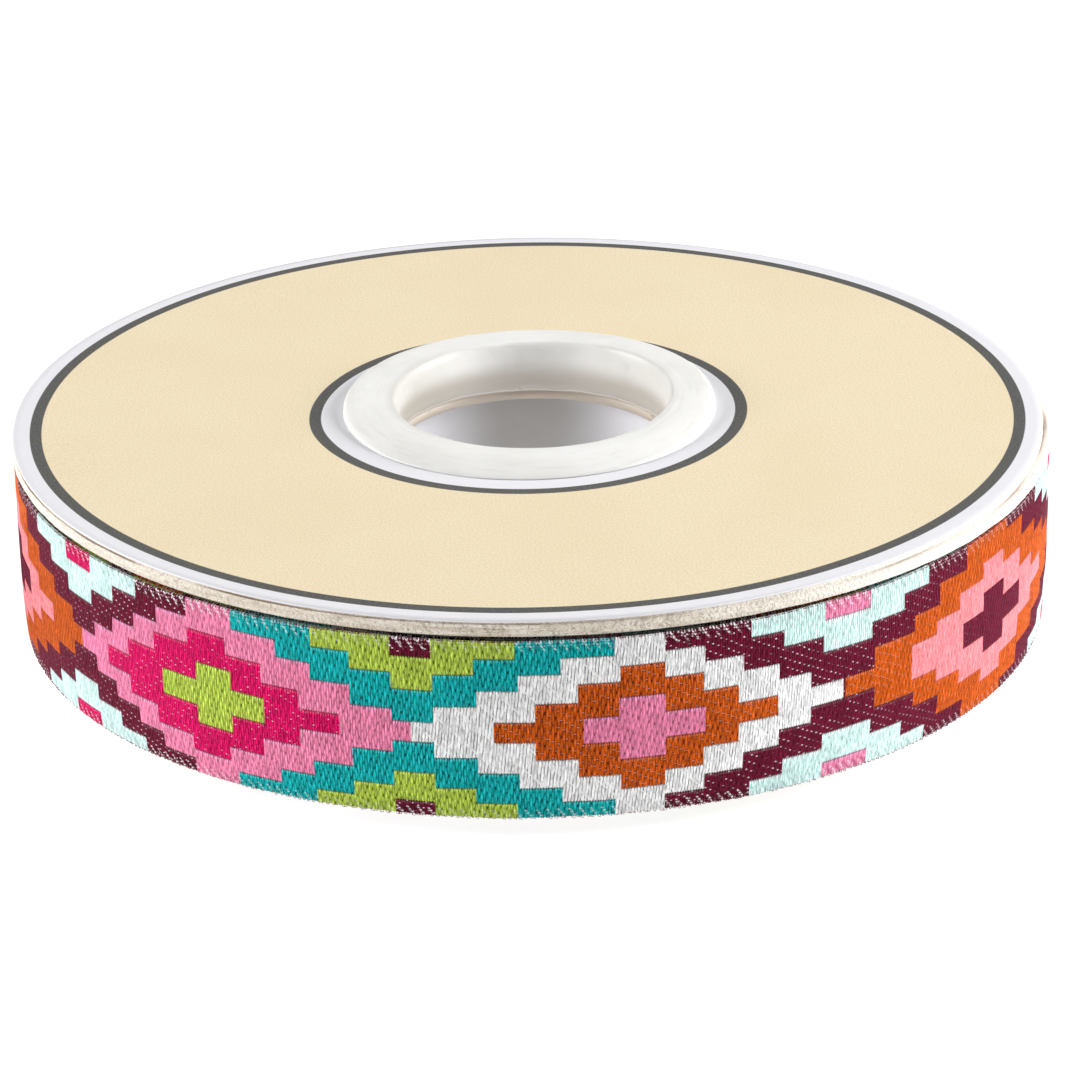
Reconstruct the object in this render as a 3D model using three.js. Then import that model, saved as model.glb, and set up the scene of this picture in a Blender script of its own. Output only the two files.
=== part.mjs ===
import * as THREE from 'three';

// A roll of woven ribbon on a flanged reel. Millimetres, Z up, the reel's axis on Z, its foot at Z 0.

// Ribbon: a 22 mm band wound on the core, the outer turn a little proud of the upper flange
const ribbonWidth = 22;
const ribbonThickness = 0.5;
const rollRadius = 64.1;
const lowerEdgeDrawIn = 0.7;
const ribbonEndAngle = 1.75;

// Reel: two chipboard discs on a tube, the lower one plain and set back under the roll
const flangeRadius = 63.5;
const lowerFlangeRadius = 58;
const boardThickness = 2;
const boardEdgeRound = 0.4;
const labelThickness = 0.25;
const labelMargin = 0.15;
const tubeInnerRadius = 19.2;
const tubeOuterRadius = 22;

// Hub collar: a moulded sleeve with a rounded rim that lies on the label
const boreRadius = 17.4;
const sleeveWall = 1.2;
const sleeveDepth = 5.4;
const rimRadius = 23;
const rimHeight = 1.2;
const lipHeight = 1.7;
const lipRound = 0.5;

// Clearance between neighbouring pieces, the sides of a round piece, and the steps in a corner or the band
const pieceGap = 0.3;
const roundSides = 96;
const cornerSteps = 2;
const bandSteps = 6;

// Levels from the foot upward
const ribbonBottom = boardThickness + pieceGap;
const ribbonTop = ribbonBottom + ribbonWidth;
const upperFlangeBottom = ribbonTop + pieceGap;
const labelBottom = upperFlangeBottom + boardThickness + pieceGap;
const labelTop = labelBottom + labelThickness;
const collarBottom = labelTop + pieceGap;
const sleeveOuterRadius = boreRadius + sleeveWall;
const boardHoleRadius = sleeveOuterRadius + pieceGap;

const paper = new THREE.MeshStandardMaterial({ color: 0xf2e3c3, roughness: 0.75, metalness: 0 });
const board = new THREE.MeshStandardMaterial({ color: 0xcdc4b5, roughness: 0.95, metalness: 0 });
const plastic = new THREE.MeshStandardMaterial({ color: 0xf1f0ee, roughness: 0.35, metalness: 0 });
const tubeWall = new THREE.MeshStandardMaterial({ color: 0xcfcad6, roughness: 0.6, metalness: 0 });
const cloth = new THREE.MeshStandardMaterial({ color: 0xd0116b, roughness: 0.7, metalness: 0 });

// A quarter-round corner in a profile, from one direction to the next around its centre
function roundCorner(centreRadius, centreLevel, size, startAngle) {
  const points = [];
  for (let step = 0; step <= cornerSteps; step += 1) {
    const angle = startAngle + (step / cornerSteps) * (Math.PI / 2);
    const radius = centreRadius + size * Math.cos(angle);
    const level = centreLevel + size * Math.sin(angle);
    points.push(new THREE.Vector2(radius, level));
  }
  return points;
}

// A closed profile turned round the reel's axis
function turned(profile) {
  const closed = [...profile, profile[0].clone()];
  const geometry = new THREE.LatheGeometry(closed, roundSides);
  geometry.rotateX(Math.PI / 2);
  return geometry;
}

// A flat disc with a hole, its outer edges slightly rounded
function discGeometry(holeRadius, outerRadius, thickness, edgeRound) {
  const inset = outerRadius - edgeRound;
  return turned([
    new THREE.Vector2(holeRadius, 0),
    ...roundCorner(inset, edgeRound, edgeRound, -Math.PI / 2),
    ...roundCorner(inset, thickness - edgeRound, edgeRound, 0),
    new THREE.Vector2(holeRadius, thickness),
  ]);
}

// A plain straight-walled ring
function ringGeometry(innerRadius, outerRadius, height) {
  return turned([
    new THREE.Vector2(innerRadius, 0),
    new THREE.Vector2(outerRadius, 0),
    new THREE.Vector2(outerRadius, height),
    new THREE.Vector2(innerRadius, height),
  ]);
}

// The collar: its origin is where the rim meets the label, the sleeve hangs below
function collarGeometry() {
  const lipTop = lipHeight - pieceGap;
  const rimTop = rimHeight - pieceGap;
  const sleeveBottom = -sleeveDepth - pieceGap;
  const lipCentre = boreRadius + lipRound;
  return turned([
    new THREE.Vector2(boreRadius, sleeveBottom),
    new THREE.Vector2(sleeveOuterRadius, sleeveBottom),
    new THREE.Vector2(sleeveOuterRadius, 0),
    new THREE.Vector2(rimRadius, 0),
    ...roundCorner(rimRadius - rimTop / 2, rimTop / 2, rimTop / 2, 0),
    ...roundCorner(lipCentre, lipTop - lipRound, lipRound, Math.PI / 2),
  ]);
}

// The outer turn's radius grows by one ribbon thickness round the roll and ends in a small step
function outerTurnRadius(angle) {
  const turn = (angle - ribbonEndAngle) / (2 * Math.PI);
  return rollRadius + ribbonThickness * (turn - 0.5);
}

// How far the band's surface is drawn in at a height above its lower edge
function drawIn(height) {
  const fall = Math.max(0, 1 - height / (ribbonWidth / 2));
  return lowerEdgeDrawIn * fall * fall;
}

function rollGeometry() {
  const outline = new THREE.Shape();
  for (let side = 0; side <= roundSides; side += 1) {
    const angle = ribbonEndAngle + (side / roundSides) * 2 * Math.PI;
    const radius = outerTurnRadius(angle);
    const x = radius * Math.cos(angle);
    const y = radius * Math.sin(angle);
    if (side === 0) {
      outline.moveTo(x, y);
    } else {
      outline.lineTo(x, y);
    }
  }
  outline.closePath();
  const hole = new THREE.Path();
  hole.absarc(0, 0, tubeOuterRadius + pieceGap, 0, 2 * Math.PI, true);
  outline.holes.push(hole);

  const options = { depth: ribbonWidth, steps: bandSteps, curveSegments: roundSides / 2, bevelEnabled: false };
  const geometry = new THREE.ExtrudeGeometry(outline, options);
  const points = geometry.getAttribute('position');
  for (let index = 0; index < points.count; index += 1) {
    const x = points.getX(index);
    const y = points.getY(index);
    const radius = Math.hypot(x, y);
    if (radius > flangeRadius / 2) {
      const scale = (radius - drawIn(points.getZ(index))) / radius;
      points.setXY(index, x * scale, y * scale);
    }
  }
  return geometry;
}

function piece(name, geometry, material, level) {
  const mesh = new THREE.Mesh(geometry, material);
  mesh.name = name;
  mesh.position.z = level;
  return mesh;
}

const flangeGeometry = discGeometry(boardHoleRadius, flangeRadius, boardThickness, boardEdgeRound);
const footGeometry = discGeometry(tubeInnerRadius, lowerFlangeRadius, boardThickness, boardEdgeRound);
const labelGeometry = ringGeometry(boardHoleRadius, flangeRadius - labelMargin, labelThickness);
const tubeGeometry = ringGeometry(tubeInnerRadius, tubeOuterRadius, ribbonWidth);

const reel = new THREE.Group();
reel.add(piece('upper_flange', flangeGeometry, board, upperFlangeBottom));
reel.add(piece('lower_flange', footGeometry, board, 0));
reel.add(piece('flange_label', labelGeometry, paper, labelBottom));
reel.add(piece('core_tube', tubeGeometry, tubeWall, ribbonBottom));
reel.add(piece('hub_collar', collarGeometry(), plastic, collarBottom));

const ribbonOnReel = new THREE.Group();
ribbonOnReel.add(reel);
ribbonOnReel.add(piece('ribbon_roll', rollGeometry(), cloth, ribbonBottom));

export default ribbonOnReel;
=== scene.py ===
import math
import random

import bmesh
import bpy
from mathutils import Matrix, Vector, noise


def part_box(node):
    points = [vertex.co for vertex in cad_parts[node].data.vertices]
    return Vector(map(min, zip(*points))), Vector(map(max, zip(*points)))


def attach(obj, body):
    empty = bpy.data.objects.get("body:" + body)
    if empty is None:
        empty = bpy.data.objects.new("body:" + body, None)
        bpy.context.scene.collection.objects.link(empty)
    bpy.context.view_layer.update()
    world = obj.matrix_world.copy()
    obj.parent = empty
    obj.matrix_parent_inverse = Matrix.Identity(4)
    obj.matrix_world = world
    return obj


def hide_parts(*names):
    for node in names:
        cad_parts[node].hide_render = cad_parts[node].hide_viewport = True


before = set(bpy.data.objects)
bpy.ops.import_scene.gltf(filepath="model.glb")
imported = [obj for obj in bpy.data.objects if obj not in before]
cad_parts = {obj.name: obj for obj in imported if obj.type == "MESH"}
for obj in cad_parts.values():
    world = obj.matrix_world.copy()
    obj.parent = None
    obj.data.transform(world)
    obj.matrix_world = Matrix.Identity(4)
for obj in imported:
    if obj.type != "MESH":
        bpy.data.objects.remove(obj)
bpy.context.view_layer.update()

mm = 0.001
fullTurn = 2 * math.pi
random.seed(22)
print("frame loaded with", len(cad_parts), "solids")

# Levels and radii that the solids give
rollLow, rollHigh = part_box("ribbon_roll")
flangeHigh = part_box("upper_flange")[1]
lowerLow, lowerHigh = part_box("lower_flange")
labelLow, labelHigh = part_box("flange_label")
tubeLow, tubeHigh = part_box("core_tube")
labelTop = labelHigh[2]


# Camera, where the photograph was taken from
cameraSet = {
    "distance": 0.5581,     # from the middle of the label
    "elevation": 21.69,     # degrees above the label
    "pan": -0.13,
    "dip": -1.67,
    "roll": 1.06,
    "lens": 150.2,
}


def placeCamera():
    data = bpy.data.cameras.new("camera")
    data.lens = cameraSet["lens"]
    camera = bpy.data.objects.new("camera", data)
    bpy.context.collection.objects.link(camera)
    rise = math.radians(cameraSet["elevation"])
    away = cameraSet["distance"]
    place = Vector((0, -away * math.cos(rise), labelTop + away * math.sin(rise)))
    aim = Matrix.Rotation(math.pi / 2 - rise, 4, "X")
    aim = aim @ Matrix.Rotation(math.radians(cameraSet["pan"]), 4, "Y")
    aim = aim @ Matrix.Rotation(math.radians(cameraSet["dip"]), 4, "X")
    aim = aim @ Matrix.Rotation(-math.radians(cameraSet["roll"]), 4, "Z")
    camera.matrix_world = Matrix.Translation(place) @ aim
    bpy.context.scene.camera = camera


placeCamera()
print("camera placed")


# Small helpers for meshes
def linkMesh(name, shape, smooth=True):
    mesh = bpy.data.meshes.new(name)
    shape.to_mesh(mesh)
    shape.free()
    mesh.polygons.foreach_set("use_smooth", [smooth] * len(mesh.polygons))
    piece = bpy.data.objects.new(name, mesh)
    bpy.context.collection.objects.link(piece)
    return piece


def turnedShape(profile, steps):
    # a closed outline of (radius, height) pairs, spun once round the reel's axis
    shape = bmesh.new()
    corners = [shape.verts.new((radius, 0, height)) for radius, height in profile]
    edges = [shape.edges.new((corners[i - 1], corners[i])) for i in range(len(corners))]
    bmesh.ops.spin(
        shape, geom=corners + edges, cent=(0, 0, 0), axis=(0, 0, 1), dvec=(0, 0, 0),
        angle=fullTurn, steps=steps, use_merge=True, use_duplicate=False,
    )
    bmesh.ops.remove_doubles(shape, verts=shape.verts, dist=1e-7)
    bmesh.ops.recalc_face_normals(shape, faces=shape.faces)
    return shape


def settle(piece, slotName, *nodes):
    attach(piece, "root")
    if nodes:
        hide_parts(*nodes)
    return piece


# Small helpers for materials
class Value:
    # a node's output, so that a mask can be written as a plain sum
    def __init__(self, tree, socket):
        self.tree = tree
        self.socket = socket

    def node(self, kind, *entries, **settings):
        return Value(self.tree, addNode(self.tree, kind, *entries, **settings).outputs[0])

    def calc(self, operation, *others):
        return self.node("Math", self, *others, operation=operation)

    def __add__(self, other):
        return self.calc("ADD", other)

    def __sub__(self, other):
        return self.calc("SUBTRACT", other)

    def __rsub__(self, other):
        return self.node("Math", other, self, operation="SUBTRACT")

    def __mul__(self, other):
        return self.calc("MULTIPLY", other)

    def __truediv__(self, other):
        return self.calc("DIVIDE", other)

    def __abs__(self):
        return self.calc("ABSOLUTE")

    def timesPlus(self, factor, rest):
        return self.calc("MULTIPLY_ADD", factor, rest)

    def orMore(self, other):
        return self.calc("MAXIMUM", other)

    def ramp(self, low, high, outLow=0.0, outHigh=1.0):
        return self.node("MapRange", self, low, high, outLow, outHigh, interpolation_type="SMOOTHSTEP")

    def stretched(self, *factors):
        return self.node("VectorMath", self, factors, operation="MULTIPLY")

    def parts(self):
        node = addNode(self.tree, "SeparateXYZ", self)
        return [Value(self.tree, output) for output in node.outputs]

    def noiseNode(self, scale, detail=2.0, rough=0.5, twist=0.0):
        node = addNode(self.tree, "TexNoise", self)
        setInputs(node, {"Scale": scale, "Detail": detail, "Roughness": rough, "Distortion": twist})
        return node

    def noiseAt(self, *settings, **more):
        return Value(self.tree, self.noiseNode(*settings, **more).outputs[0])


def feed(socket, entry):
    # a socket takes a link or a plain value
    if isinstance(entry, Value):
        entry.tree.links.new(entry.socket, socket)
    else:
        socket.default_value = entry


def setInputs(node, entries):
    for label, entry in entries.items():
        feed(node.inputs[label], entry)


def addNode(tree, kind, *entries, **settings):
    node = tree.nodes.new("ShaderNode" + kind)
    for label, setting in settings.items():
        setattr(node, label, setting)
    for socket, entry in zip(node.inputs, entries):
        feed(socket, entry)
    return node


def linear(red, green, blue):
    # a colour read from a picture, as a light value
    def one(value):
        share = value / 255
        return share / 12.92 if share <= 0.04045 else ((share + 0.055) / 1.055) ** 2.4
    return (one(red), one(green), one(blue), 1.0)


def mixColour(factor, first, second, blend="MIX"):
    # a colour of three numbers is one read from a picture
    tree = factor.tree if isinstance(factor, Value) else first.tree
    node = addNode(tree, "Mix", data_type="RGBA", blend_type=blend)
    feed(node.inputs["Factor"], factor)
    for socket, entry in ((node.inputs[6], first), (node.inputs[7], second)):
        plain = isinstance(entry, tuple) and len(entry) == 3
        feed(socket, linear(*entry) if plain else entry)
    return Value(tree, node.outputs[2])


def newMaterial(name):
    material = bpy.data.materials.new(name)
    material.use_nodes = True
    tree = material.node_tree
    return material, tree, tree.nodes["Principled BSDF"]


def objectPlace(tree):
    return Value(tree, addNode(tree, "TexCoord").outputs["Object"])


def mappedPlace(tree, layerName):
    return Value(tree, addNode(tree, "UVMap", uv_map=layerName).outputs[0])


def attributeValue(tree, name):
    return Value(tree, addNode(tree, "Attribute", attribute_name=name).outputs["Fac"])


def raiseBump(surface, height, strength, distance):
    bump = addNode(height.tree, "Bump")
    setInputs(bump, {"Strength": strength, "Distance": distance, "Height": height})
    feed(surface.inputs["Normal"], Value(height.tree, bump.outputs[0]))


def openGroup(name, labels):
    group = bpy.data.node_groups.new(name, "ShaderNodeTree")
    for label in labels:
        kind = "NodeSocketVector" if label == "Place" else "NodeSocketFloat"
        group.interface.new_socket(name=label, in_out="INPUT", socket_type=kind)
    entry = group.nodes.new("NodeGroupInput")
    return group, [Value(group, entry.outputs[label]) for label in labels]


def closeGroup(group, results):
    for label in results:
        group.interface.new_socket(name=label, in_out="OUTPUT", socket_type="NodeSocketFloat")
    setInputs(group.nodes.new("NodeGroupOutput"), results)
    return group


def useGroup(tree, group, **entries):
    node = addNode(tree, "Group", node_tree=group)
    setInputs(node, entries)
    return {output.name: Value(tree, output) for output in node.outputs}


# Shared effects
def makeWovenFloats():
    # Floats side by side: each swells at its middle and is bound down, in a small pocket, at its ends
    labels = ("Place", "Pitch", "Length", "Stagger", "Swell", "Slant", "PinSize")
    group, given = openGroup("wovenFloats", labels)
    clothPlace, pitch, length, stagger, swell, slant, pinSize = given
    run, across = clothPlace.parts()[:2]
    along = (run - across * slant) / pitch
    column = along.calc("FLOOR")
    within = along - column - 0.5
    side = within.calc("SIGN")
    rise = across / length

    def oneFloat(place, offset):
        phase = place.timesPlus(stagger, rise)
        row = phase.calc("FLOOR")
        part = phase - row
        wave = (part * fullTurn).calc("COSINE")
        half = wave.timesPlus(swell * -1.0, 0.5)
        return place, row, part, abs(offset) / half

    def dice(place, row):
        spot = addNode(group, "CombineXYZ", place, row)
        node = addNode(group, "TexWhiteNoise", Value(group, spot.outputs[0]), noise_dimensions="2D")
        return Value(group, node.outputs["Value"])

    own = oneFloat(column, within)
    other = oneFloat(column + side, within - side)
    takeOther = own[3].calc("GREATER_THAN", other[3])
    nearer = [(second - first).timesPlus(takeOther, first) for first, second in zip(own, other)]
    place, row, part, reach = nearer

    # the pocket and the pin lie at the end of the column's own float
    ownRow, ownPart = own[1:3]
    toEnd = (ownPart + 0.5).calc("FRACT") - 0.5
    toEnd = abs(toEnd * length)
    sideways = abs(within * pitch)
    pocketHalfWidth = 0.125
    pocketHalfHeight = 0.34
    wide = sideways / pocketHalfWidth
    tall = toEnd / pocketHalfHeight
    pinHeight = (toEnd / pinSize).ramp(0.6, 1.3, 1.0, 0.0)
    return closeGroup(group, {
        "Round": reach.ramp(0.5, 1.0, 1.0, 0.0),
        "Middle": (part * fullTurn).calc("COSINE").timesPlus(-0.5, 0.5),
        "Pocket": (wide * wide + tall * tall).calc("SQRT").ramp(0.25, 1.1, 1.0, 0.0),
        "Pins": pinHeight * sideways.ramp(0.07, 0.14, 1.0, 0.0),
        "Tone": dice(place, row),
        "PinTone": dice(column, (ownRow + ownPart + 0.5).calc("FLOOR")),
    })


def makeEdgeBinding():
    # at both edges: a chain of small loops, and slanted stitches that bind the last floats down
    labels = ("Place", "Spacing", "Slant", "Edge")
    group, (clothPlace, spacing, slant, edge) = openGroup("edgeBinding", labels)
    run, across = clothPlace.parts()[:2]
    inward = edge - abs(across)
    repeat = ((run + across * slant) / spacing).calc("FRACT")
    fromLine = abs(repeat - 0.5)
    rippleLength = 0.36
    ripple = (across * (fullTurn / rippleLength)).calc("SINE")
    stitch = fromLine.ramp(0.06, 0.15, 1.0, 0.0) * ripple.ramp(-0.7, 0.5, 0.15, 1.0)
    stitch = stitch * inward.ramp(1.05, 1.3, 1.0, 0.0)
    chainLength = 0.84
    runTurns = run * (fullTurn / chainLength)
    acrossTurns = across * fullTurn
    first = (runTurns + acrossTurns).calc("SINE")
    second = (runTurns - acrossTurns).calc("SINE")
    chain = (first * second).ramp(0.1, 0.5) * fromLine.ramp(0.3, 0.45, 1.0, 0.25)
    chain = chain * inward.ramp(0.45, 0.65, 1.0, 0.0) * across.ramp(-0.5, 0.5, 0.45, 1.0)
    broken = clothPlace.noiseAt(2.6, 1.0).ramp(0.36, 0.48)
    return closeGroup(group, {
        "Marks": stitch.orMore(chain) * broken,
        # painted shade in the hollows between the stitches
        "HollowShade": fromLine.ramp(0.25, 0.45) * inward.ramp(0.9, 1.4, 1.0, 0.0),
    })


def makeFineGrain():
    # broad mottling and small specks, for paper, board and plastic
    group, (place, broad, fine) = openGroup("fineGrain", ("Place", "Broad", "Fine"))
    return closeGroup(group, {
        "Mottle": place.noiseAt(broad, 3.0),
        "Specks": place.noiseAt(fine, 3.0).ramp(0.35, 0.65),
    })


wovenFloats = makeWovenFloats()
edgeBinding = makeEdgeBinding()
fineGrain = makeFineGrain()


# Ribbon: each yarn's colour, how dark the painted shade in its pockets, how bright the painted highlight
# on its crowns and how dark the painted shade in the gaps beside it, how clearly and how often the white
# warp pins it, how tall a pin is, and how clear the edge stitches
yarnColumns = ("colour", "pocket", "crown", "sides", "pins", "pinShare", "pinSize", "binding")
yarnRows = {
    "burgundy": ((106, 8, 44), 0.65, 0.15, 0.75, 0.95, 0.82, 0.07, 1.0),
    "magenta": ((220, 0, 97), 0.6, 0.25, 0.6, 0.75, 0.5, 0.06, 0.95),
    "pink": ((249, 138, 176), 0.75, 0.4, 0.6, 0.25, 0.3, 0.06, 0.9),
    "coral": ((255, 145, 152), 0.3, 0.4, 0.5, 0.4, 0.3, 0.06, 0.6),
    "rust": ((204, 86, 0), 1.0, 0.7, 0.95, 0.5, 0.8, 0.05, 0.5),
    "lime": ((181, 205, 76), 1.0, 0.65, 0.75, 0.35, 0.35, 0.06, 0.45),
    "teal": ((0, 178, 180), 1.0, 0.65, 0.95, 0.2, 0.1, 0.05, 0.6),
    "aqua": ((214, 251, 247), 0.35, 0.4, 0.5, 0.3, 0.1, 0.06, 0.5),
    "white": ((255, 255, 255), 0.2, 0.3, 1.0, 0.0, 0.0, 0.06, 0.2),
}
yarns = {name: dict(zip(yarnColumns, row)) for name, row in yarnRows.items()}
yarnNames = list(yarns)

ribbon = {
    "width": 22.0,            # all in millimetres
    "cloth": 0.42,
    "perTurn": 0.5,           # how much each turn adds to the radius
    "outerRadius": 63.9,
    "endAngle": 1.75,         # where the cut end lies, behind the roll
    "tuck": 0.26,             # how far the last turn starts under the cut end
    "floatPitch": 0.3125,
    "floatLength": 2.04,
    "stagger": 0.576,         # how far a float starts below its left neighbour, as a share of its length
    "swell": 0.1,
    "slant": 0.01,
    "whitePitch": 0.378,      # the white floats lie in slanted ribs of their own
    "whiteSwell": 0.05,
    "whiteSlant": 0.11,
    "paintedLightMiddle": 198.0,         # painted shade and highlights show most this far along, and again after each wave
    "paintedLightWave": 200.0,
    "ridge": 0.035,
    "lift": 0.3,              # the outer turn stands this far above the rest
    "topLow": 0.4,            # the other turns end lower at the top, and higher at the foot
    "footHigh": 0.35,
    "wavy": 0.09,
    "edgeWavy": 0.14,
    "endLift": 0.35,          # the cut end stands off a little
    "endLiftRun": 5.0,
    "drawInSides": 0.3,
    "drawInFront": 0.7,
    "shift": 0.35,            # the roll lies a little towards the right
    "turns": (14.0, 82.0),    # how many turns lie under the outer one: the last wound, and all
    "repeat": 153.8,
    "repeatMark": (280.72, 100.6),   # this angle in degrees shows this place in the repeat
    "pinWarp": (236, 224, 230),
    "edgeWarp": (240, 236, 240),
    "sheen": 0.16,
}

# How the band strays as it is wound: at an angle, how far its middle drops and how far it slides along
strays = [
    (90, 0.25, 0.0), (180, 0.3, 0.0), (210, 0.3, -0.1), (230, 0.45, -0.2), (242, 0.6, 0.15),
    (257, 0.4, 0.2), (266, 0.1, 0.1), (290, 0.1, 0.0), (305, 0.2, -0.15), (320, 0.35, -0.35),
    (332, 0.25, -0.45), (360, 0.2, -0.2), (450, 0.25, 0.0),
]

# Heights above the ribbon's middle line at which a step of the pattern can lie
rowEdges = (1.25, 1.6, 2.2, 2.7, 3.2, 3.5, 3.85, 5.15, 5.8, 7.1, 7.7, 8.4, 9.05, 9.75, 11.0)

# The three diamonds of the repeat, each of nested shapes. A step of a shape's left or right half is
# (height that it reaches, how far it runs from the diamond's middle)
diamonds = [
    (0.0, [
        ("burgundy", ((1.6, 7.2), (3.85, 2.6)), ((1.6, 7.8), (3.85, 2.6))),
        ("coral",
         ((2.2, 17.1), (3.85, 12.6), (5.8, 8.0), (7.7, 2.9)),
         ((1.25, 17.5), (3.2, 12.5), (5.8, 7.7), (7.7, 2.3))),
        ("rust",
         ((1.25, 27.5), (3.85, 23.1), (5.8, 16.6), (8.4, 12.1), (11.1, 6.8)),
         ((1.25, 25.6), (3.2, 23.5), (5.15, 18.7), (7.1, 13.6), (9.75, 8.2), (11.1, 3.1))),
    ]),
    (49.4, [
        ("lime", ((1.6, 7.6), (3.85, 2.3)), ((1.6, 6.9), (3.85, 2.4))),
        ("magenta",
         ((1.25, 17.8), (3.5, 13.6), (5.8, 9.0), (7.7, 3.5)),
         ((1.25, 16.4), (3.5, 11.4), (5.8, 6.6), (7.7, 1.9))),
        ("pink",
         ((1.25, 23.8), (3.2, 20.5), (5.15, 16.5), (7.1, 12.4), (9.05, 8.25), (11.1, 3.5)),
         ((1.25, 24.8), (2.7, 22.7), (5.15, 17.8), (7.1, 12.9), (9.05, 8.5), (11.1, 2.8))),
    ]),
    (100.6, [
        ("pink", ((1.6, 6.75), (3.85, 2.6)), ((1.6, 7.4), (3.85, 2.65))),
        ("rust",
         ((1.25, 16.8), (3.5, 12.2), (5.8, 7.25), (7.7, 2.5)),
         ((1.25, 16.4), (3.5, 11.4), (5.8, 7.2), (7.7, 2.6))),
        ("white",
         ((1.25, 26.4), (3.2, 23.7), (5.15, 18.7), (7.1, 14.0), (9.05, 9.2), (11.1, 3.1)),
         ((1.25, 25.4), (3.2, 20.8), (5.15, 16.6), (7.1, 12.1), (9.05, 7.3), (11.1, 2.7))),
    ]),
]

# The half diamonds at both edges, between two whole ones. A step is (where it starts, half its run)
edgeDiamonds = [
    {"middle": 25.6, "ground": "burgundy", "yarn": "aqua", "block": "magenta", "blockHalf": 2.9,
     "steps": ((9.05, 12.0), (7.1, 7.5), (5.15, 2.8))},
    {"middle": 74.4, "ground": "teal", "yarn": "lime", "block": "burgundy", "blockHalf": 2.3,
     "steps": ((9.05, 11.9), (7.1, 7.2), (5.15, 2.4))},
    {"middle": 126.6, "ground": "burgundy", "yarn": "aqua", "block": "pink", "blockHalf": 3.3,
     "steps": ((9.05, 13.0), (7.1, 8.8), (5.15, 3.5))},
]
blockHeight = 9.05


def repeatOffset(place, middle):
    # the signed distance to the nearest copy of a motif
    half = ribbon["repeat"] / 2
    return (place - middle + half) % ribbon["repeat"] - half


def yarnAt(place, across):
    height = abs(across)
    for middle, shapes in diamonds:
        offset = repeatOffset(place, middle)
        for yarn, left, right in shapes:
            for top, run in left if offset < 0 else right:
                if height < top and abs(offset) < run:
                    return yarn
    nearest = min(edgeDiamonds, key=lambda entry: abs(repeatOffset(place, entry["middle"])))
    offset = abs(repeatOffset(place, nearest["middle"]))
    if height > blockHeight and offset < nearest["blockHalf"]:
        return nearest["block"]
    for start, half in nearest["steps"]:
        if height > start and offset < half:
            return nearest["yarn"]
    return nearest["ground"]


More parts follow.
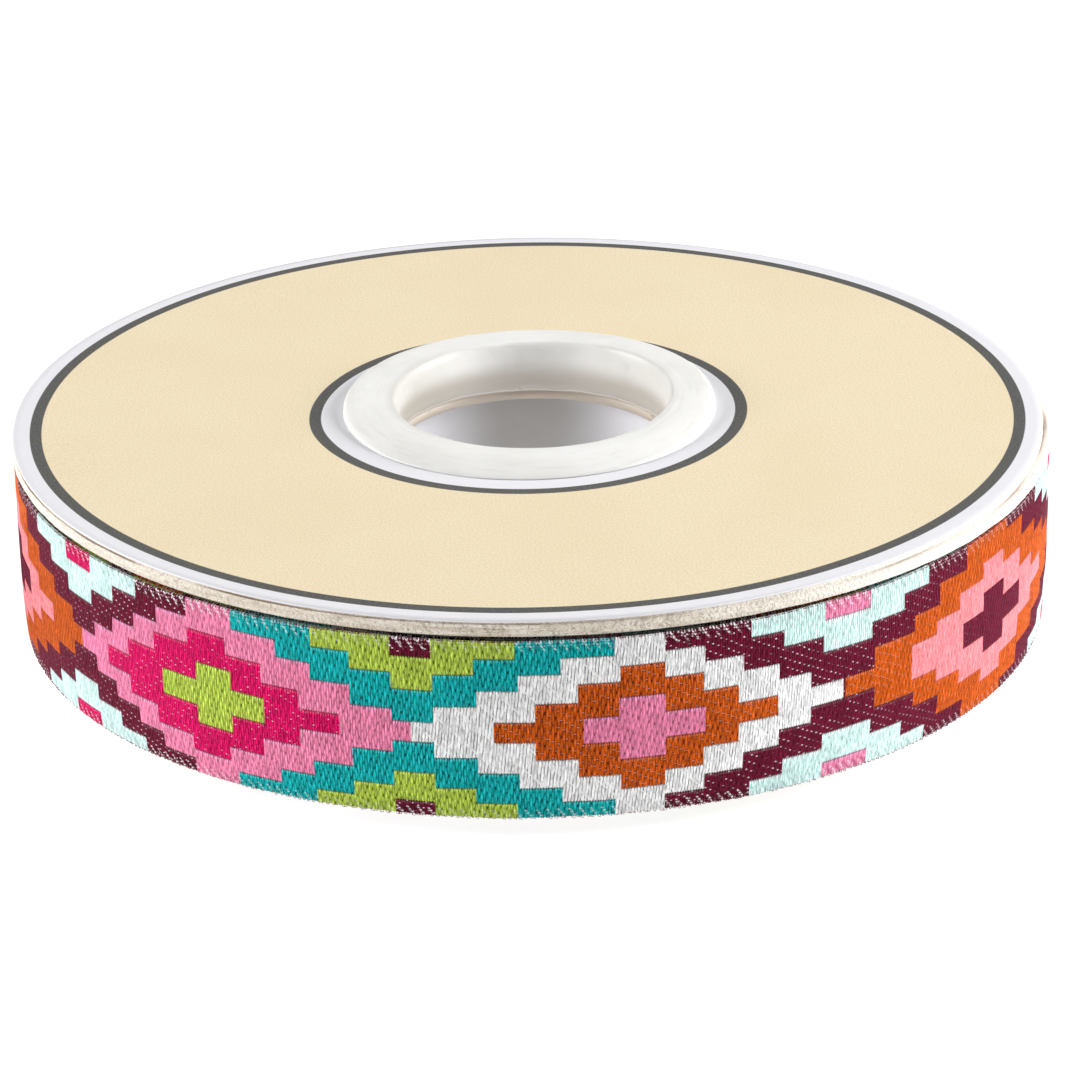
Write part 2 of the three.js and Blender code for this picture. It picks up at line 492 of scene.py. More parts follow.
def yarnMaterial(name):
    look = yarns[name]
    white = name == "white"
    material, tree, surface = newMaterial("yarn_" + name)
    place = mappedPlace(tree, "clothPlace")
    run, across = place.parts()[:2]
    wander = Value(tree, place.noiseNode(0.6).outputs["Color"])
    nudged = wander.node("VectorMath", wander, (0.12, 0.4, 0.0), place, operation="MULTIPLY_ADD")
    floats = useGroup(
        tree, wovenFloats, Place=nudged, Pitch=ribbon["whitePitch" if white else "floatPitch"],
        Length=ribbon["floatLength"], Stagger=ribbon["stagger"],
        Swell=ribbon["whiteSwell" if white else "swell"], PinSize=look["pinSize"],
        Slant=ribbon["whiteSlant" if white else "slant"],
    )
    edge = useGroup(tree, edgeBinding, Place=place, Spacing=1.25, Slant=0.75, Edge=11.1)
    strand = nudged.stretched(9.0, 1.2, 1.0).noiseAt(1.0, 2.0, 0.6)
    uneven = place.stretched(2.6, 0.5, 1.0).noiseAt(1.0, 1.0)

    # painted light: the painted shade, highlights, pins and edge stitches show most at the roll's front
    # and fade towards its sides, again and again along the ribbon
    paintedLightWave = ((run - ribbon["paintedLightMiddle"]) * (fullTurn / ribbon["paintedLightWave"])).calc("COSINE")
    paintedLightShare = paintedLightWave.ramp(-0.7, 0.3)
    paintedShadeShare = paintedLightWave.ramp(-0.2, 0.9, 0.5, 1.05)

    full = linear(*look["colour"])

    def toned(share, rest=0.0, power=1.0):
        return tuple(min(1.0, share * value ** power + rest) for value in full[:3]) + (1.0,)

    # colours of the painted shade, painted highlights and painted glints
    shadeColour = toned(0.17, power=1.6)
    highlightColour = toned(1.4, 0.04)
    glint = toned(1.35, 0.07)

    # painted shade: the gap between two floats, and the pocket where one is bound down
    gap = (1.0 - floats["Round"]) * (uneven.ramp(0.38, 0.6, 0.25, 1.0) * look["sides"])
    pocket = floats["Pocket"] * floats["PinTone"].ramp(0.0, 1.0, 1.0, 0.6)
    shade = gap.orMore(pocket * look["pocket"]) * paintedShadeShare
    # painted highlight on the crown of each float
    crown = floats["Middle"] * floats["Middle"] * floats["Round"]
    crown = crown * strand.ramp(0.4, 0.62, 0.1, look["crown"])

    # painted highlights on the float tips at the upper edge of a step, with painted shade in the dark
    # notches between them and painted shade lines along the step's edges
    fromLower, fromUpper = mappedPlace(tree, "stepPlace").parts()[:2]
    tooth = floats["Round"].ramp(0.25, 0.8)
    tipHighlight = fromUpper.ramp(0.28, 0.5, 0.9, 0.0) * tooth * paintedLightShare
    notchShade = fromUpper.ramp(0.2, 0.5, 0.9, 0.0) * (1.0 - tooth)
    hemShade = fromUpper.ramp(0.06, 0.16, 0.85, 0.0).orMore(fromLower.ramp(0.02, 0.14, 0.6, 0.0))
    hemShade = hemShade.orMore(notchShade) * paintedLightShare.timesPlus(0.7, 0.3)
    hemShade = hemShade.orMore(edge["HollowShade"] * (0.05 + 0.5 * look["binding"]))
    colour = mixColour(crown, full, highlightColour)
    colour = mixColour(tipHighlight, colour, glint)
    colour = mixColour(shade.orMore(hemShade), colour, shadeColour)
    tone = floats["Tone"].ramp(0.0, 1.0, 0.84, 1.1) * strand.ramp(0.3, 0.7, 0.66, 1.24)
    colour = mixColour(1.0, colour, tone.node("CombineColor", tone, tone, tone), "MULTIPLY")
    if white:
        # painted highlights: thin bright creases run down from the corners of the steps
        creaseHighlight = abs(((run + across) / 3.3).calc("FRACT") - 0.5).ramp(0.02, 0.06, 1.0, 0.0)
        colour = mixColour(creaseHighlight * uneven.ramp(0.42, 0.55, 0.0, 0.8), colour, (1.0, 1.0, 1.0, 1.0))
    if look["pins"] > 0:
        patchy = place.stretched(0.2, 0.2, 1.0).noiseAt(1.0, 1.0)
        chance = floats["PinTone"] + patchy.ramp(0.35, 0.65, -0.14, 0.14)
        share = look["pinShare"]
        shown = chance.ramp(1 - share - 0.1, 1 - share + 0.5, 0.0, look["pins"]) * paintedLightShare
        colour = mixColour(floats["Pins"] * shown, colour, ribbon["pinWarp"])
    marks = edge["Marks"] * (paintedLightShare.timesPlus(0.4, 0.6) * look["binding"])
    colour = mixColour(marks, colour, ribbon["edgeWarp"])
    # painted sparkle: tiny painted highlights
    sparkleHighlight = place.stretched(5.0, 4.0, 1.0).noiseAt(1.0, 1.0).ramp(0.58, 0.72, 0.0, 0.35)
    setInputs(surface, {
        "Base Color": mixColour(sparkleHighlight, colour, glint),
        "Roughness": floats["Round"].ramp(0.0, 1.0, 0.85, 0.5),
        "Sheen Weight": ribbon["sheen"], "Sheen Roughness": 0.4, "Sheen Tint": glint,
        "Specular IOR Level": 0.06,
    })
    height = floats["Pocket"].timesPlus(-0.8, floats["Round"] * 0.6)
    raiseBump(surface, floats["Middle"].timesPlus(0.4, height), 0.8, 0.08 * mm)
    return material


yarnMaterials = [yarnMaterial(name) for name in yarnNames]


def turnRadius(angle):
    turn = (angle - ribbon["endAngle"]) / fullTurn
    return ribbon["outerRadius"] + ribbon["perTurn"] * (turn - 0.5)


def turnShift(radius):
    # the outer turns lie a little off centre, the first ones don't
    share = (radius - tubeHigh[0] / mm) / (ribbon["outerRadius"] - tubeHigh[0] / mm)
    return ribbon["shift"] * share * share


def repeatPlace(angle):
    markDegrees, markPlace = ribbon["repeatMark"]
    mark = math.radians(markDegrees)
    return markPlace + (angle - mark) * (turnRadius(angle) + turnRadius(mark)) / 2


def strayAt(angle):
    degrees = (math.degrees(angle) - 90) % 360 + 90
    for before, after in zip(strays, strays[1:]):
        if before[0] <= degrees <= after[0]:
            share = (degrees - before[0]) / (after[0] - before[0])
            share = share * share * (3 - 2 * share)
            return [low + (high - low) * share for low, high in zip(before[1:], after[1:])]
    return [0.0, 0.0]


def drawnIn(angle, across):
    # the lower half of the band curls in under the roll, most of all at the front
    front = max(0.0, -math.sin(angle))
    depth = ribbon["drawInSides"] + (ribbon["drawInFront"] - ribbon["drawInSides"]) * front
    fall = max(0.0, -across / 11)
    return depth * fall * fall


def floatDip(column, across):
    # how far a float is pulled down near the point where it is bound
    run = (across / ribbon["floatLength"] + column * ribbon["stagger"]) % 1
    toEnd = (0.5 - abs(run - 0.5)) * ribbon["floatLength"]
    return max(0.0, 1 - toEnd / 0.5)


def bandHeight(across):
    return (rollLow[2] + rollHigh[2]) / (2 * mm) + ribbon["lift"] + across


def stepEnds(column, section):
    # for each cell of a column, the heights between which its yarn runs on
    loop = len(section)
    ends = []
    for j in range(loop):
        first = j
        while first > 0 and column[first - 1] == column[j]:
            first -= 1
        last = j + 1
        while last < loop and column[last] == column[j]:
            last += 1
        heights = [section[k % loop][1] for k in range(first, last + 1)]
        ends.append((min(heights), max(heights)))
    return ends


def woundStrip(name, angleFrom, angleTo, columnRun, section, bend):
    # a flat grid, wound into a spiral; each column across it becomes a closed loop round the cloth
    length = (angleTo - angleFrom) * (turnRadius(angleFrom) + turnRadius(angleTo)) / 2
    columns = int(round(length / columnRun))
    loop = len(section)
    shape = bmesh.new()
    bmesh.ops.create_grid(shape, x_segments=columns, y_segments=loop, size=1.0)
    clothLayer = shape.loops.layers.uv.new("clothPlace")
    stepLayer = shape.loops.layers.uv.new("stepPlace")
    angles = [angleFrom + (angleTo - angleFrom) * i / columns for i in range(columns + 1)]
    places = [repeatPlace(angle) for angle in angles]
    chart = []
    for i in range(columns):
        middle = (places[i] + places[i + 1]) / 2
        column = []
        for j in range(loop):
            across = (section[j][1] + section[(j + 1) % loop][1]) / 2
            column.append(yarnAt(middle, max(-10.9, min(10.9, across))))
        chart.append(column)
    steps = [stepEnds(column, section) for column in chart]
    spots = {}
    for vert in shape.verts:
        i = int(round((vert.co.x + 1) / 2 * columns))
        j = int(round((vert.co.y + 1) / 2 * loop))
        spots[vert] = (i, j)
    bends = {}
    for i, j in spots.values():
        if (i, j % loop) not in bends:
            inward, across = section[j % loop]
            column = chart[min(i, columns - 1)]
            bends[(i, j % loop)] = bend(i, j % loop, angles[i], inward, across, column)
    for face in shape.faces:
        i, j = min(spots[vert] for vert in face.verts)
        face.material_index = yarnNames.index(chart[i][j])
        low, high = steps[i][j]
        for corner in face.loops:
            i, j = spots[corner.vert]
            across = section[j % loop][1]
            # the ribbon's own edges are no steps
            fromLower = across - low if low > -10.8 else 3.0
            fromUpper = high - across if high < 10.8 else 3.0
            corner[clothLayer].uv = (i * columnRun, across)
            corner[stepLayer].uv = (fromLower, fromUpper)
    for vert, (i, j) in spots.items():
        rise, push = bends[(i, j % loop)]
        radius = turnRadius(angles[i]) - section[j % loop][0] + push
        drop, slide = strayAt(angles[i])
        rise -= drop * (1 - (section[j % loop][1] / 11.1) ** 4)
        angle = angles[i] + slide / radius
        shift = turnShift(turnRadius(angles[i]))
        vert.co = ((radius * math.cos(angle) + shift) * mm, radius * math.sin(angle) * mm, rise * mm)
    bmesh.ops.remove_doubles(shape, verts=shape.verts, dist=1e-6)
    openEdges = [edge for edge in shape.edges if len(edge.link_faces) == 1]
    bmesh.ops.holes_fill(shape, edges=openEdges, sides=0)
    bmesh.ops.recalc_face_normals(shape, faces=shape.faces)
    piece = linkMesh(name, shape, smooth=False)
    for material in yarnMaterials:
        piece.data.materials.append(material)
    return piece, length


def outerTurn():
    cloth = ribbon["cloth"]
    face = [-edge for edge in reversed(rowEdges)] + [0.0] + list(rowEdges)
    section = [(0.0, across) for across in face]
    section += [(0.5 * cloth, 11.1), (cloth, 10.95), (cloth, -10.95), (0.5 * cloth, -11.1)]
    angleFrom = ribbon["endAngle"] - ribbon["tuck"]
    angleTo = ribbon["endAngle"] + fullTurn
    faceRows = len(face)

    def bend(i, j, angle, inward, across, column):
        peak = i % 2 == 1
        push = -drawnIn(angle, across)
        nudge = 0.0
        if inward < 0.8 * cloth and peak:
            push += ribbon["ridge"]
        if j < faceRows:
            yarn = column[min(j, faceRows - 2)]
            if peak and yarn != "white":
                push -= 0.8 * ribbon["ridge"] * floatDip(i // 2, across)
            if yarn != column[max(j - 1, 0)]:
                push -= 0.04
                nudge = 0.08 if peak else -0.08
        if abs(across) > 10.9 and peak:
            nudge = math.copysign(0.06 + 0.07 * random.random(), across)
        around = Vector((math.cos(angle), math.sin(angle), 0))
        push += ribbon["wavy"] * noise.noise(around * 5 + Vector((0, 0, across * 0.12)))
        wave = ribbon["edgeWavy"] * noise.noise(around * 9 + Vector((3, 0, math.copysign(1, across))))
        toCut = (angleTo - angle) * 64
        lift = ribbon["endLift"] * max(0.0, 1 - toCut / ribbon["endLiftRun"]) ** 2
        rise = bandHeight(across) + nudge + wave * abs(across) / 11
        return rise, push + lift

    return woundStrip("ribbon_outer_turn", angleFrom, angleTo, ribbon["floatPitch"] / 2, section, bend)


outer, outerLength = outerTurn()
settle(outer, "ribbon", "ribbon_roll")
outerLength * mm
print("outer turn woven,", len(outer.data.polygons), "faces")


def innerTurns(name, turnsFrom, turnsTo, columnRun):
    cloth = ribbon["cloth"]
    section = [(0.0, -11.0), (0.0, -9.4), (0.0, -6.0), (0.0, 9.4), (0.0, 11.0), (0.2, 11.08)]
    section += [(cloth, 10.9), (cloth, -6.0), (cloth, -10.9), (0.2, -11.08)]
    start = ribbon["endAngle"] - ribbon["tuck"]

    def bend(i, j, angle, inward, across, column):
        turn = (angle - start) / fullTurn
        around = Vector((math.cos(angle), math.sin(angle), turn))
        uneven = 0.16 * noise.noise(around * 1.7) - 0.05
        low = ribbon["topLow"] if across > 0 else -ribbon["footHigh"]
        rise = bandHeight(across * 0.99) - ribbon["lift"] - low + uneven
        return rise, -drawnIn(angle, across) - 0.08

    angles = (start + turnsFrom * fullTurn, start + turnsTo * fullTurn)
    return woundStrip(name, *angles, columnRun, section, bend)


lastTurns, allTurns = ribbon["turns"]
wound, woundLength = innerTurns("ribbon_wound_turns", -lastTurns, 0.0, 2.2)
settle(wound, "ribbon", "ribbon_roll")
woundLength * mm
core, coreLength = innerTurns("ribbon_first_turns", -allTurns, -lastTurns, 6.0)
settle(core, "ribbon", "ribbon_roll")
coreLength * mm
print("inner turns wound, metres in all:", round((outerLength + woundLength + coreLength) * mm, 2))


# Selvedge: the small loops of weft that stand out along both edges
selvedge = {
    "spacing": 0.6,
    "thickness": 0.045,
    "below": {"side": -1, "reach": 0.22, "whiteShare": 0.12},
    "above": {"side": 1, "reach": 0.1, "whiteShare": 0.35},
    # the points of a loop: how far along, how far out, how far off the roll
    "loop": ((0.0, -0.6, 0.0), (0.4, 0.8, 0.1), (0.9, 1.0, 0.1), (1.2, -0.6, 0.0)),
}


def selvedgeLoops():
    curve = bpy.data.curves.new("selvedge_loops", "CURVE")
    curve.dimensions = "3D"
    curve.bevel_depth = selvedge["thickness"] * mm
    curve.bevel_resolution = 0
    curve.use_fill_caps = True
    start = ribbon["endAngle"] - ribbon["tuck"]
    step = selvedge["spacing"] / ribbon["outerRadius"]
    for edge in (selvedge["below"], selvedge["above"]):
        side = edge["side"]
        for k in range(int(outerLength / selvedge["spacing"])):
            angle = start + (k + 0.6 * random.random()) * step
            out = edge["reach"] * (0.5 + 0.8 * random.random())
            skew = step * (0.5 + 0.5 * random.random())
            white = random.random() < edge["whiteShare"]
            yarn = "white" if white else yarnAt(repeatPlace(angle), side * 10.9)
            points = []
            for run, reach, push in selvedge["loop"]:
                bow = angle + skew * run
                radius = turnRadius(bow) - drawnIn(bow, side * 11.0) + push - 0.12
                height = bandHeight(side * 11.0) + side * out * reach
                x = (radius * math.cos(bow) + turnShift(turnRadius(bow))) * mm
                points.append((x, radius * math.sin(bow) * mm, height * mm, 1.0))
            spline = curve.splines.new("POLY")
            spline.points.add(len(points) - 1)
            for point, co in zip(spline.points, points):
                point.co = co
            spline.material_index = yarnNames.index(yarn)
    for material in yarnMaterials:
        curve.materials.append(material)
    drawn = bpy.data.objects.new("selvedge_curves", curve)
    bpy.context.collection.objects.link(drawn)
    bpy.context.view_layer.update()
    mesh = bpy.data.meshes.new_from_object(drawn.evaluated_get(bpy.context.evaluated_depsgraph_get()))
    bpy.data.objects.remove(drawn)
    for layerName in ("clothPlace", "stepPlace"):
        layer = mesh.uv_layers.new(name=layerName)
        layer.data.foreach_set("uv", [ribbon["floatPitch"] / 2, 1.0] * len(mesh.loops))
    piece = bpy.data.objects.new("selvedge_loops", mesh)
    bpy.context.collection.objects.link(piece)
    return piece


settle(selvedgeLoops(), "ribbon")
print("selvedge loops made")


# Boards: pressed grey board, its cut edge rough and layered
board = {
    "upperHole": 18.9,
    "lowerHole": 19.2,
    "upperThickness": 2.1,
    "corner": 0.25,
    "rough": 0.12,
    "seam": 0.865,            # where the top layer parts from the rest, as a share of the thickness
    "splay": 0.95,            # how far the lower layers stand out at the right
    "edgeRows": 16,
    "steps": 540,
    "pressed": (231, 219, 202),
    "pale": (255, 248, 234),
    "fibre": (158, 141, 122),
    # painted light and painted shade for the board's edge
    "paintedLightCream": (252, 246, 236),
    "paintedShadeGrey": (204, 190, 172),
    # painted shade in the crack between the layers
    "crackShade": (122, 94, 72),
}


def boardMaterial():
    material, tree, surface = newMaterial("pressed_board")
    place = objectPlace(tree)
    x = place.parts()[0]
    streaks = place.stretched(1.0, 1.0, 18.0).noiseAt(110.0, 4.0, 0.65)
    curls = place.noiseAt(1100.0, 2.0, twist=2.5)
    grain = useGroup(tree, fineGrain, Place=place, Broad=70.0, Fine=3000.0)
    colour = mixColour(streaks.ramp(0.36, 0.6), board["pressed"], board["pale"])
    colour = mixColour(curls.ramp(0.5, 0.66, 0.0, 0.55), colour, board["fibre"])
    colour = mixColour(grain["Specks"] * 0.16, colour, board["fibre"])
    # painted shade makes the board greyer left of its middle, and painted light makes it paler at both
    # sides
    paintedShadeGrey = abs(x + 32 * mm).ramp(5 * mm, 27 * mm, 0.3, 0.0)
    paintedLightCream = x.ramp(12 * mm, 46 * mm, 0.0, 0.85).orMore(x.ramp(-56 * mm, -34 * mm, 0.35, 0.0))
    colour = mixColour(paintedShadeGrey, colour, board["paintedShadeGrey"])
    colour = mixColour(paintedLightCream, colour, board["paintedLightCream"])
    # painted shade darkens the crack where the top layer parts
    crackShade = attributeValue(tree, "crackShade").ramp(0.1, 0.9, 0.0, 0.9)
    setInputs(surface, {
        "Base Color": mixColour(crackShade, colour, board["crackShade"]),
        "Roughness": 0.92, "Specular IOR Level": 0.2,
    })
    raiseBump(surface, grain["Specks"].timesPlus(0.5, streaks), 0.9, 0.15 * mm)
    return material


pressedBoard = boardMaterial()


def boardDisc(name, hole, outerRadius, low, high, splay):
    rows = board["edgeRows"]
    inset = board["corner"] * mm
    holeRadius = hole * mm
    profile = [(holeRadius, low), (outerRadius - 3 * mm, low), (outerRadius - inset, low)]
    for row in range(rows + 1):
        profile.append((outerRadius, low + inset + (high - low - 2 * inset) * row / rows))
    profile += [(outerRadius - inset, high), (outerRadius - 3 * mm, high), (holeRadius, high)]
    shape = turnedShape(profile, board["steps"])
    crackLayer = shape.verts.layers.float.new("crackShade")
    for vert in shape.verts:
        radius = math.hypot(vert.co.x, vert.co.y)
        if radius < outerRadius - 2 * mm:
            continue
        angle = math.atan2(vert.co.y, vert.co.x)
        share = (vert.co.z - low) / (high - low)
        around = Vector((math.cos(angle), math.sin(angle), 0))
        layer = noise.noise(around * 14 + Vector((0, 0, share * 9)))
        fray = noise.noise(around * 90 + Vector((0, 0, share * 16)))
        push = board["rough"] * (0.7 * layer + 0.6 * fray)
        # at the right the lower layers have come apart from the top one and stand out
        apart = max(0.0, math.cos(angle + 0.1)) ** 2 * splay
        seam = board["seam"] - 0.15 * min(1.0, apart)
        gape = math.exp(-((share - seam - 0.03 * noise.noise(around * 8)) / 0.04) ** 2)
        lifted = math.exp(-((angle + 2.05) / 0.4) ** 2)
        broken = 1.3 * noise.noise(around * 4 + Vector((5, 0, 0)))
        gape *= max(0.0, min(1.0, 0.5 + 0.5 * lifted + broken))
        push += apart * max(0.0, 1 - math.exp((share - seam) / 0.06)) - 0.1 * gape
        if radius > outerRadius - 0.1 * mm:
            scale = (radius + push * mm) / radius
            vert.co.x *= scale
            vert.co.y *= scale
            vert[crackLayer] = gape
        if splay:
            drop = 0.25 * apart - 0.15 * math.cos(angle - math.pi)
            vert.co.z -= drop * (1 - share) * mm
    piece = linkMesh(name, shape)
    piece.data.materials.append(pressedBoard)
    return piece


upperSpan = (labelTop - board["upperThickness"] * mm, labelLow[2])
upper = boardDisc("upper_board", board["upperHole"], flangeHigh[0], *upperSpan, board["splay"])
settle(upper, "board", "upper_flange")
lowerSpan = (lowerLow[2], lowerHigh[2])
lower = boardDisc("lower_board", board["lowerHole"], lowerHigh[0], *lowerSpan, 0.0)
settle(lower, "board", "lower_flange")
print("boards cut")


# Label: printed paper pasted on the upper board
label = {
    "hole": 18.95,
    "outerRing": (59.9, 61.35),
    "innerRing": (25.7, 27.2),
    "rings": (19.0, 24.0, 30.0, 38.0, 46.0, 54.0, 60.0, 62.5),   # where the paper can bend
    "steps": 360,
    "cream": (247, 233, 201),
    "deepCream": (244, 229, 196),
    "creamSpecks": (224, 203, 166),
    "paper": (236, 235, 239),
    "ink": (82, 82, 80),
    "paleInk": (106, 105, 102),
}


def ringMask(radius, inner, outer):
    soft = 0.06
    return radius.ramp(inner - soft, inner + soft) * radius.ramp(outer - soft, outer + soft, 1.0, 0.0)


def labelMaterial():
    material, tree, surface = newMaterial("printed_label")
    place = objectPlace(tree)
    x, y = place.parts()[:2]
    radius = (x * x + y * y).calc("SQRT") * 1000.0
    grain = useGroup(tree, fineGrain, Place=place, Broad=55.0, Fine=4200.0)
    outerRing = label["outerRing"]
    innerRing = label["innerRing"]
    # the inner ring is printed a little flat at the back left
    flattened = radius + (y * 820.0 - x * 570.0).ramp(8.0, 25.0, 0.0, 0.75)
    rings = ringMask(flattened, *innerRing) + ringMask(radius, *outerRing)
    field = flattened.ramp(innerRing[0] + 0.3, innerRing[0] + 0.4)
    field = field * radius.ramp(outerRing[1] - 0.4, outerRing[1] - 0.3, 1.0, 0.0)
    cream = mixColour(grain["Mottle"].ramp(0.3, 0.7), label["cream"], label["deepCream"])
    cream = mixColour(grain["Specks"] * 0.6, cream, label["creamSpecks"])
    ink = mixColour(grain["Specks"], label["ink"], label["paleInk"])
    colour = mixColour(rings, mixColour(field, label["paper"], cream), ink)
    setInputs(surface, {"Base Color": colour, "Roughness": 0.6, "Specular IOR Level": 0.35})
    raiseBump(surface, grain["Specks"], 0.15, 0.04 * mm)
    return material


def labelDisc():
    high = labelTop
    low = labelLow[2]
    outerRadius = flangeHigh[0] - 0.1 * mm
    profile = [(label["hole"] * mm, low), (outerRadius, low)]
    profile += [(outerRadius + 0.03 * mm, (low + high) / 2), (outerRadius, high)]
    profile += [(radius * mm, high) for radius in reversed(label["rings"])]
    shape = turnedShape(profile, label["steps"])
    for vert in shape.verts:
        radius = math.hypot(vert.co.x, vert.co.y)
        share = max(0.0, (radius - 30 * mm) / (33 * mm))
        around = vert.co / (63 * mm)
        vert.co.z += (0.07 * noise.noise(around * 2.5) - 0.05 * share ** 6) * share * mm
        if radius > outerRadius - 0.2 * mm:
            fray = 1 + 0.0007 * noise.noise(around * 40)
            vert.co.x *= fray
            vert.co.y *= fray
    piece = linkMesh("printed_label", shape)
    piece.data.materials.append(labelMaterial())
    return piece


settle(labelDisc(), "label", "flange_label")
print("label pasted")


# Hub collar: white moulded plastic
collar = {
    "bore": 17.05,
    "sleeve": 18.3,
    "rim": 23.05,
    "rimHeight": 1.78,
    "rimRound": 3.0,
    "rimFullness": 3.2,       # 2 is a plain quarter round, more is squarer
    "lipHeight": 1.86,
    "lipRound": 0.95,
    "lipFall": 2.3,           # how far down the lip goes on curving into the bore
    "lipBulge": 0.45,
    "tilts": ((35, 0.75, 1.5), (128, 0.42, 3.0)),   # where the rim stands up: degrees, height, sharpness
    "boreEdge": 17.9,         # inside this radius the wall counts as the bore's
    "boreFade": 0.7,
    "boreShift": 0.64,        # the bore and the rim lie a little to the right
    "rimShift": 0.24,
    "seam": 4.4,
    "depth": 5.4,
    "cornerSteps": 12,
    "steps": 256,
    "white": (249, 248, 245),
    "dull": (242, 241, 237),
    "scuffed": (230, 229, 225),
    # painted shade for the bore's wall, further down and at its sides
    "boreShade": (210, 204, 195),
    "sides": (226, 225, 222),
    "flash": (206, 194, 180),
    "spot": (140, 120, 100),
}


def collarMaterial():
    material, tree, surface = newMaterial("moulded_white")
    place = objectPlace(tree)
    x, y, level = place.parts()
    bore = attributeValue(tree, "bore")
    grain = useGroup(tree, fineGrain, Place=place, Broad=120.0, Fine=700.0)
    flow = place.noiseAt(260.0, 3.0)
    colour = mixColour(grain["Mottle"].ramp(0.35, 0.7), collar["white"], collar["dull"])
    # faint scuffs run round the rim
    radius = (x * x + y * y).calc("SQRT")
    scuffs = x.node("CombineXYZ", radius * 11.0, x, y).noiseAt(180.0, 4.0, 0.65)
    colour = mixColour(scuffs.ramp(0.5, 0.72, 0.0, 0.55), colour, collar["scuffed"])
    # painted shade greys the wall of the bore, more so at its sides and further down
    depth = level.ramp(labelTop - 2.6 * mm, labelTop + 0.45 * mm, 1.0, 0.0)
    colour = mixColour(depth * bore, colour, collar["boreShade"])
    sideways = x.ramp(6 * mm, 14 * mm, 0.0, 0.77).orMore(x.ramp(-14 * mm, -6 * mm, 1.0, 0.0))
    colour = mixColour(sideways * bore, colour, collar["sides"], "MULTIPLY")
    # the parting seam has a little flash and dirt on it, and a painted highlight on the ridge just above
    # it
    seamLevel = labelTop - collar["seam"] * mm
    wavy = (flow - 0.5).timesPlus(0.9 * mm, level)
    below = wavy.ramp(seamLevel + 0.1 * mm, seamLevel + 0.25 * mm, 1.0, 0.0)
    colour = mixColour(below * bore, colour, collar["flash"])
    # painted highlight on the ridge just above the seam
    ridge = abs(wavy - (seamLevel + 0.3 * mm)).ramp(0.04 * mm, 0.12 * mm, 0.5, 0.0)
    colour = mixColour(ridge * bore, colour, collar["white"])
    near = abs(wavy - seamLevel).ramp(0.2 * mm, 0.6 * mm, 1.0, 0.0)
    spots = place.stretched(1.0, 1.0, 2.2).noiseAt(420.0).ramp(0.62, 0.72, 0.0, 0.6)
    colour = mixColour(spots * (near * bore), colour, collar["spot"])
    setInputs(surface, {
        "Base Color": colour, "Roughness": flow.ramp(0.3, 0.7, 0.32, 0.5), "Subsurface Weight": 0.25,
        "Subsurface Radius": (1.0, 0.9, 0.8), "Subsurface Scale": 0.8 * mm,
    })
    raiseBump(surface, scuffs.timesPlus(0.5, flow), 0.3, 0.08 * mm)
    return material


def collarProfile():
    # the collar's outline in millimetres from the label's top: sleeve, rim, lip, bore and seam
    bore = collar["bore"]
    rim = collar["rim"]
    rimHeight = collar["rimHeight"]
    lipHeight = collar["lipHeight"]
    fullness = collar["rimFullness"]
    cornerSteps = collar["cornerSteps"]
    profile = [(bore + 0.02, -collar["depth"]), (collar["sleeve"], -collar["depth"])]
    profile += [(collar["sleeve"], -0.02), (rim - 0.1, 0.02)]
    for step in range(cornerSteps + 1):
        inward = (step / cornerSteps) ** 1.6
        level = 0.06 + (rimHeight - 0.06) * (1 - (1 - inward) ** fullness) ** (1 / fullness)
        profile.append((rim - collar["rimRound"] * inward, level))
    profile += [(19.2, lipHeight - 0.02), (18.4, lipHeight)]
    lip = bore - collar["lipBulge"]
    for step in range(cornerSteps + 1):
        angle = math.radians(84 + 96 * step / cornerSteps)
        level = lipHeight + collar["lipFall"] * (math.sin(angle) - 1)
        profile.append((lip + collar["lipRound"] * (1 + math.cos(angle)), level))
    profile += [(lip + 0.04, -0.9), (lip + 0.16, -1.5), (lip + 0.32, -2.1)]
    profile += [(bore, -2.7), (bore + 0.05, -3.3)]
    seamPoints = ((0.05, 0.15), (0.22, 0.03), (0.22, -0.06), (0.08, -0.2))
    profile += [(bore + out, up - collar["seam"]) for out, up in seamPoints]
    return profile


def hubCollar():
    bore = collar["bore"]
    rim = collar["rim"]
    placed = [(radius * mm, labelTop + height * mm) for radius, height in collarProfile()]
    shape = turnedShape(placed, collar["steps"])
    boreLayer = shape.verts.layers.float.new("bore")
    for vert in shape.verts:
        radius = math.hypot(vert.co.x, vert.co.y) / mm
        height = (vert.co.z - labelTop) / mm
        outward = (radius - bore) / (rim - bore)
        around = vert.co / (20 * mm)
        vert[boreLayer] = max(0.0, min(1.0, (collar["boreEdge"] - radius) / collar["boreFade"]))
        # the outer wall slopes more at the front than at the back
        inward = (rim - radius) / collar["rimRound"]
        if 0 <= inward < 1 and height > 0.05:
            slope = 0.1 + (collar["rimHeight"] - 0.1) * inward ** 0.8
            front = max(0.0, min(1.0, -vert.co.y / (14 * mm)))
            height += front * (min(height, slope) - height)
        facing = math.atan2(vert.co.y, vert.co.x)
        raised = 0.0
        for degrees, tilt, sharpness in collar["tilts"]:
            raised += tilt * max(0.0, math.cos(facing - math.radians(degrees))) ** sharpness
        raised *= max(0.0, height) / collar["rimHeight"]
        vert.co.z = labelTop + (height + raised + 0.04 * noise.noise(around * 3)) * mm
        vert.co.x += (collar["boreShift"] + (collar["rimShift"] - collar["boreShift"]) * outward) * mm
    piece = linkMesh("hub_moulding", shape)
    piece.data.materials.append(collarMaterial())
    return piece


settle(hubCollar(), "collar", "hub_collar")
print("collar moulded")


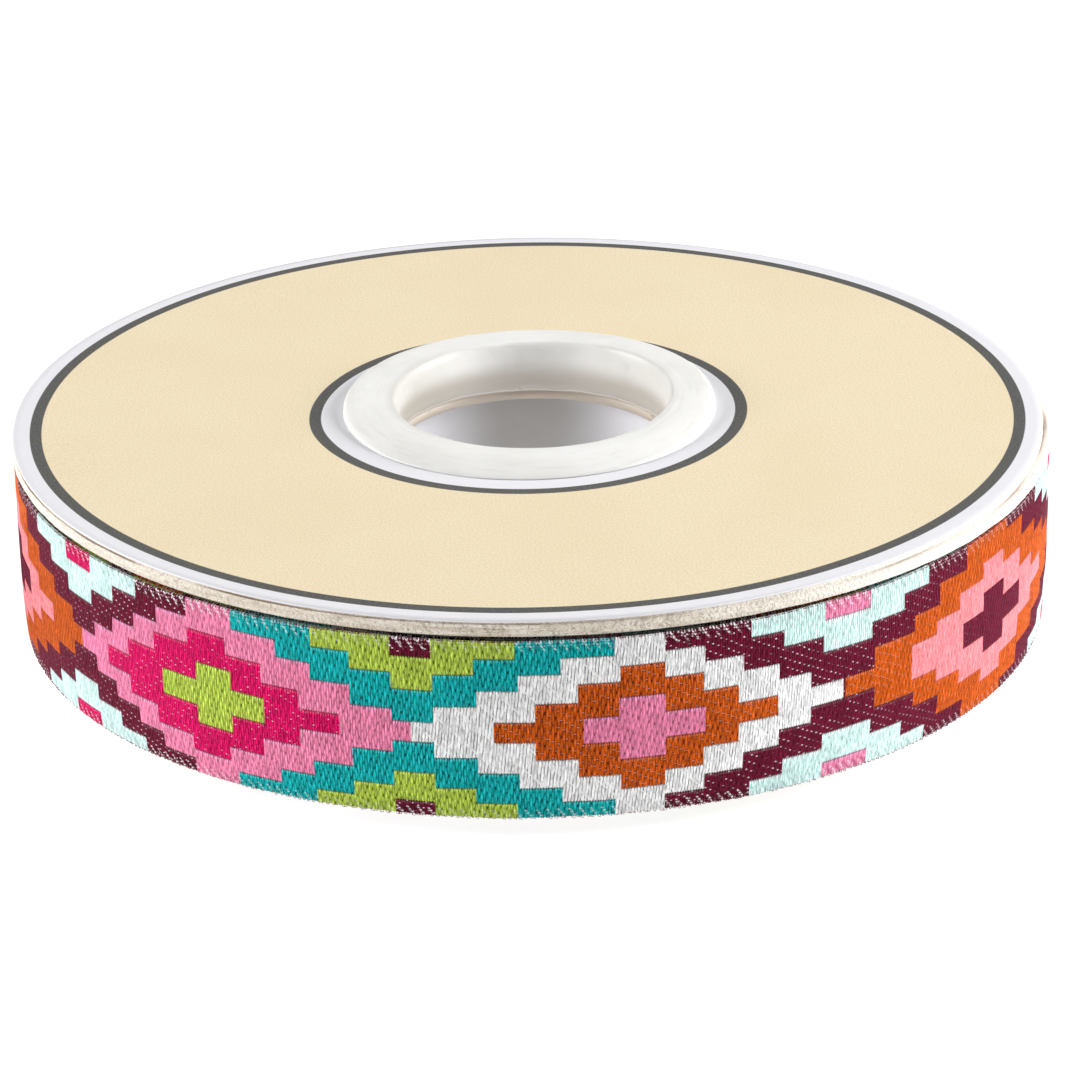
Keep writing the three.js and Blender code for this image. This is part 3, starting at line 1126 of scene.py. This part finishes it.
# Core tube: the grey wall deeper in the hub
tube = {
    "inner": 19.2,
    "corner": 0.25,
    "steps": 256,
    "wall": (183, 181, 178),
    "mottled": (176, 174, 172),
    # painted light for the wall's sides
    "paintedLightSides": (250, 250, 255),
}


def tubeMaterial():
    material, tree, surface = newMaterial("tube_wall")
    place = objectPlace(tree)
    x = place.parts()[0]
    grain = useGroup(tree, fineGrain, Place=place, Broad=90.0, Fine=900.0)
    colour = mixColour(grain["Mottle"].ramp(0.3, 0.7), tube["wall"], tube["mottled"])
    # painted light: the wall is lighter towards its sides
    colour = mixColour(abs(x).ramp(3 * mm, 14 * mm), colour, tube["paintedLightSides"])
    setInputs(surface, {"Base Color": colour, "Roughness": 0.32})
    raiseBump(surface, grain["Specks"], 0.1, 0.05 * mm)
    return material


def coreTube():
    inner = tube["inner"] * mm
    outerWall = tubeHigh[0]
    low = tubeLow[2]
    high = tubeHigh[2]
    edge = tube["corner"] * mm
    profile = [(inner + edge, low), (outerWall - edge, low), (outerWall, low + edge)]
    profile += [(outerWall, high - edge), (outerWall - edge, high)]
    profile += [(inner + edge, high), (inner, high - edge)]
    profile += [(inner, high - (high - low) * part / 6) for part in range(1, 6)]
    profile += [(inner, low + edge)]
    piece = linkMesh("tube_wall", turnedShape(profile, tube["steps"]))
    piece.data.materials.append(tubeMaterial())
    return piece


settle(coreTube(), "tube", "core_tube")
print("tube set in")


# Floor and lights
studio = {
    "floor": (180, 180, 180),
    "floorMottle": (177, 177, 177),
    "glow": 0.82,
    "sky": 0.16,
    "left": {"place": (-0.91, 0.02, 0.44), "size": 0.6, "power": 9.3},
    "right": {"place": (0.91, 0.05, 0.44), "size": 0.6, "power": 12.0},
    "top": {"place": (0.0, 0.35, 1.1), "size": 0.9, "power": 0.5},
    "front": {"place": (0.3, -0.6, 0.95), "size": 0.4, "power": 0.9},
}
plainWhite = (1.0, 1.0, 1.0, 1.0)


def makeFloor():
    shape = bmesh.new()
    bmesh.ops.create_grid(shape, x_segments=1, y_segments=1, size=4.0)
    bmesh.ops.translate(shape, verts=shape.verts, vec=(0, 0, -0.02 * mm))
    floor = linkMesh("floor", shape)
    material, tree, surface = newMaterial("pale_floor")
    grain = useGroup(tree, fineGrain, Place=objectPlace(tree), Broad=3.0, Fine=60.0)
    setInputs(surface, {
        "Base Color": mixColour(grain["Mottle"], studio["floor"], studio["floorMottle"]),
        "Roughness": 0.9, "Emission Color": plainWhite, "Emission Strength": studio["glow"],
    })
    floor.data.materials.append(material)


def makeLight(name, look):
    data = bpy.data.lights.new(name, "AREA")
    data.shape = "DISK"
    data.size = look["size"]
    data.energy = look["power"]
    lamp = bpy.data.objects.new(name, data)
    bpy.context.collection.objects.link(lamp)
    place = Vector(look["place"])
    turn = (Vector((0, 0, 0.01)) - place).to_track_quat("-Z", "Y").to_matrix().to_4x4()
    lamp.matrix_world = Matrix.Translation(place) @ turn


def makeSky():
    world = bpy.data.worlds.new("studio")
    bpy.context.scene.world = world
    world.use_nodes = True
    background = world.node_tree.nodes["Background"]
    background.inputs["Color"].default_value = plainWhite
    background.inputs["Strength"].default_value = studio["sky"]


makeFloor()
for lampName in ("left", "right", "top", "front"):
    makeLight(lampName + "_softbox", studio[lampName])
makeSky()
bpy.context.scene.view_settings.view_transform = "Standard"
print("floor and lights set")
